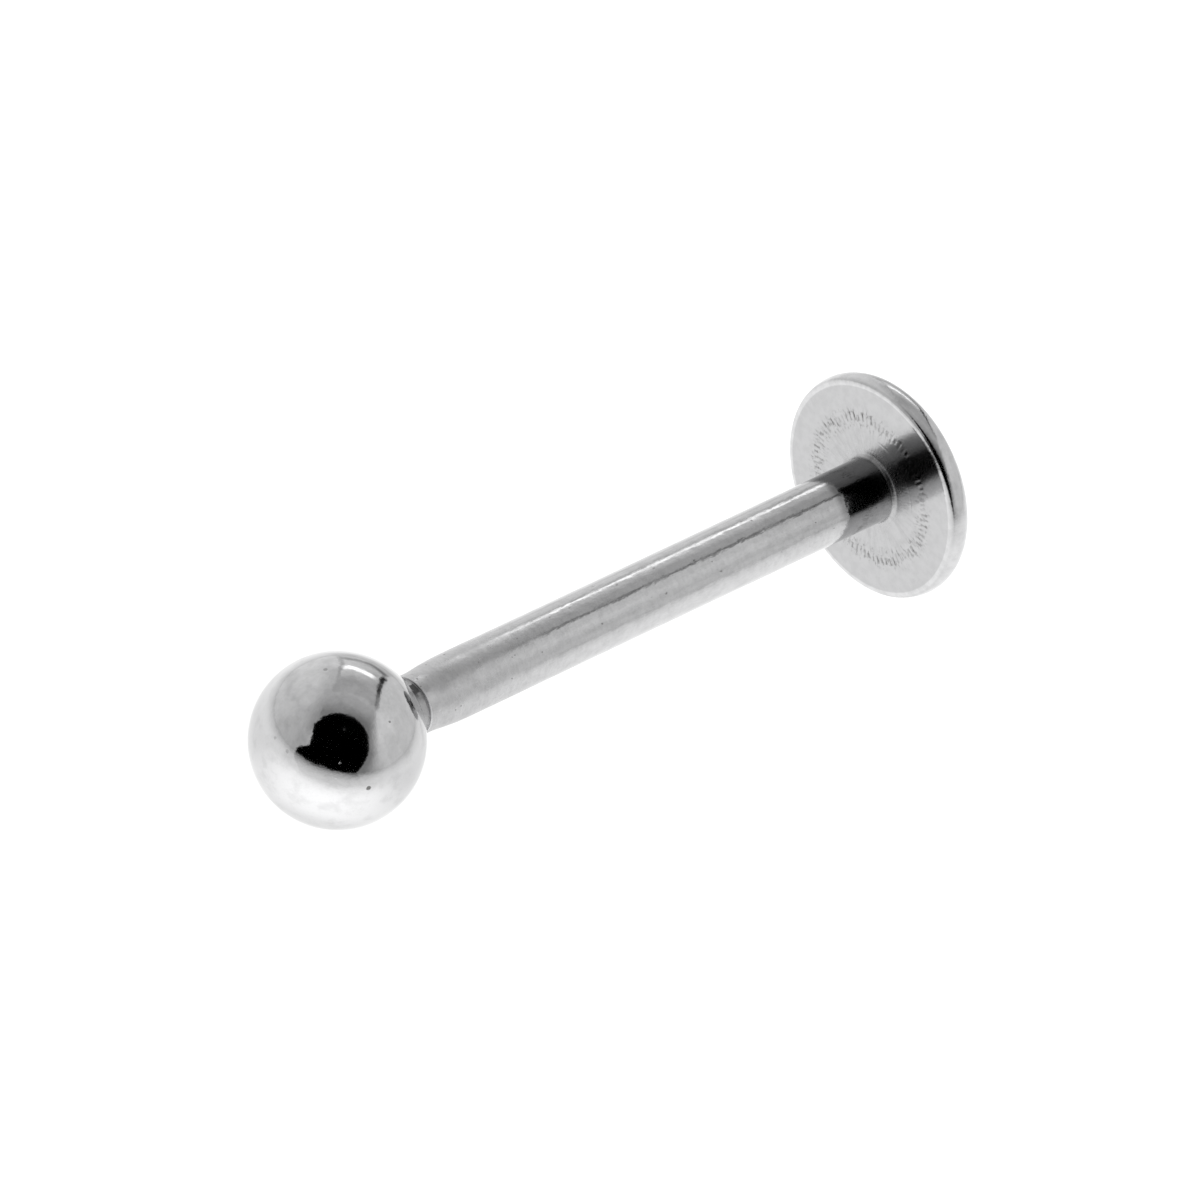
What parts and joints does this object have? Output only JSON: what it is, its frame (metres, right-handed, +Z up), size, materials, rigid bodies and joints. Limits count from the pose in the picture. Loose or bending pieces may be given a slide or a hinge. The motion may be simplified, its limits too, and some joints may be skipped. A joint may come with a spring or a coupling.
{
  "type": "labret stud",
  "caption": "Straight round bar with a flat disc base at one end and a screw-on ball at the other, worn through a lip or ear piercing.",
  "frame": {"origin": "on the surface that the stud lies on, under the centre of its bounding box", "axes": "+Z up; +X along the stud from the ball to the disc, seen from above; the shared axis of ball, bar and disc lies in the XZ plane and rises 2.25 degrees towards the disc"},
  "size_m": [0.0146, 0.004, 0.004],
  "materials": {
    "post_steel": "polished surgical steel with fine drawing lines along the bar and turned lines on the disc's face",
    "ball_steel": "mirror-polished surgical steel with a few pits and hairlines"
  },
  "bodies": {
    "post": {"post": "post_steel"},
    "ball": {"ball": "ball_steel"}
  },
  "joints": [
    {"name": "ball_unscrew", "type": "slide", "parent": "post", "child": "ball", "axis": [-0.9992, 0, -0.0392], "range_m": [0, 0.008]}
  ]
}
